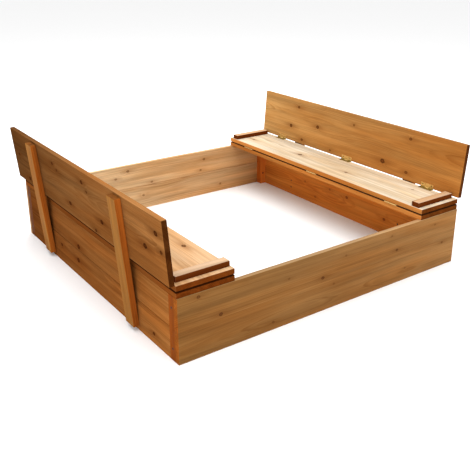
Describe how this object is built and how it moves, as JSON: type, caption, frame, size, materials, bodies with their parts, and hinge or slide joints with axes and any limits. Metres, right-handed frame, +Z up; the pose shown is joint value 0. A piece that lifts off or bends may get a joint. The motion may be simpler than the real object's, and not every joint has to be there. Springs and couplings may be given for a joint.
{
  "type": "sandbox with folding cover",
  "caption": "Square wooden sandbox without a floor, whose hinged cover folds back into bench seats with leaning backrests and closes flat over the sand.",
  "frame": {"origin": "on the ground, under the middle of the box", "axes": "+Z up, +X across the two benches, +Y along them"},
  "size_m": [1.3118, 1.2, 0.4535],
  "materials": {
    "wall_wood": "clear-stained fir, sawn and planed",
    "post_wood": "clear-stained fir",
    "seat_wood": "clear-stained fir, planed",
    "back_wood": "clear-stained fir, planed",
    "cleat_wood": "clear-stained fir, planed",
    "slat_wood": "clear-stained fir, planed",
    "hinge_brass": "brass-plated steel, satin",
    "screw_steel": "bronze-coloured zinc plating"
  },
  "bodies": {
    "frame": {"back_left_post": "post_wood", "back_right_post": "post_wood", "back_wall_lower_board": "wall_wood", "back_wall_upper_board": "wall_wood", "corner_screws": "screw_steel", "fixed_panel_screws": "screw_steel", "front_left_post": "post_wood", "front_right_post": "post_wood", "front_wall_lower_board": "wall_wood", "front_wall_upper_board": "wall_wood", "left_back_slat": "slat_wood", "left_fixed_panel": "seat_wood", "left_fold_fixed_leaves": "hinge_brass", "left_fold_fixed_screws": "screw_steel", "left_fold_pins": "hinge_brass", "left_front_slat": "slat_wood", "left_wall_lower_board": "wall_wood", "left_wall_upper_board": "wall_wood", "right_back_slat": "slat_wood", "right_fixed_panel": "seat_wood", "right_fold_fixed_leaves": "hinge_brass", "right_fold_fixed_screws": "screw_steel", "right_fold_pins": "hinge_brass", "right_front_slat": "slat_wood", "right_wall_lower_board": "wall_wood", "right_wall_upper_board": "wall_wood", "slat_screws": "screw_steel", "wall_screws": "screw_steel"},
    "left_seat": {"left_back_cleat": "cleat_wood", "left_cleat_screws": "screw_steel", "left_fold_seat_leaves": "hinge_brass", "left_fold_seat_screws": "screw_steel", "left_front_cleat": "cleat_wood", "left_recline_pins": "hinge_brass", "left_recline_seat_leaves": "hinge_brass", "left_recline_seat_screws": "screw_steel", "left_seat_panel": "seat_wood"},
    "left_back": {"left_backrest": "back_wood", "left_recline_back_leaves": "hinge_brass", "left_recline_back_screws": "screw_steel"},
    "right_seat": {"right_back_cleat": "cleat_wood", "right_cleat_screws": "screw_steel", "right_fold_seat_leaves": "hinge_brass", "right_fold_seat_screws": "screw_steel", "right_front_cleat": "cleat_wood", "right_recline_pins": "hinge_brass", "right_recline_seat_leaves": "hinge_brass", "right_recline_seat_screws": "screw_steel", "right_seat_panel": "seat_wood"},
    "right_back": {"right_backrest": "back_wood", "right_recline_back_leaves": "hinge_brass", "right_recline_back_screws": "screw_steel"}
  },
  "joints": [
    {"name": "left_seat_fold", "type": "hinge", "parent": "frame", "child": "left_seat", "pos_m": [-0.402, 0, 0.23195], "axis": [0, 1, 0], "range_deg": [0, 180]},
    {"name": "left_back_fold", "type": "hinge", "parent": "left_seat", "child": "left_back", "pos_m": [-0.601, 0, 0.2529], "axis": [0, -1, 0], "range_deg": [0, 85.19]},
    {"name": "right_seat_fold", "type": "hinge", "parent": "frame", "child": "right_seat", "pos_m": [0.402, 0, 0.23195], "axis": [0, -1, 0], "range_deg": [0, 180]},
    {"name": "right_back_fold", "type": "hinge", "parent": "right_seat", "child": "right_back", "pos_m": [0.601, 0, 0.2529], "axis": [0, 1, 0], "range_deg": [0, 85.19]}
  ],
  "couplings": [
    {"joint": "left_back_fold", "follows": "left_seat_fold", "ratio": 0.47326},
    {"joint": "right_back_fold", "follows": "right_seat_fold", "ratio": 0.47326}
  ]
}
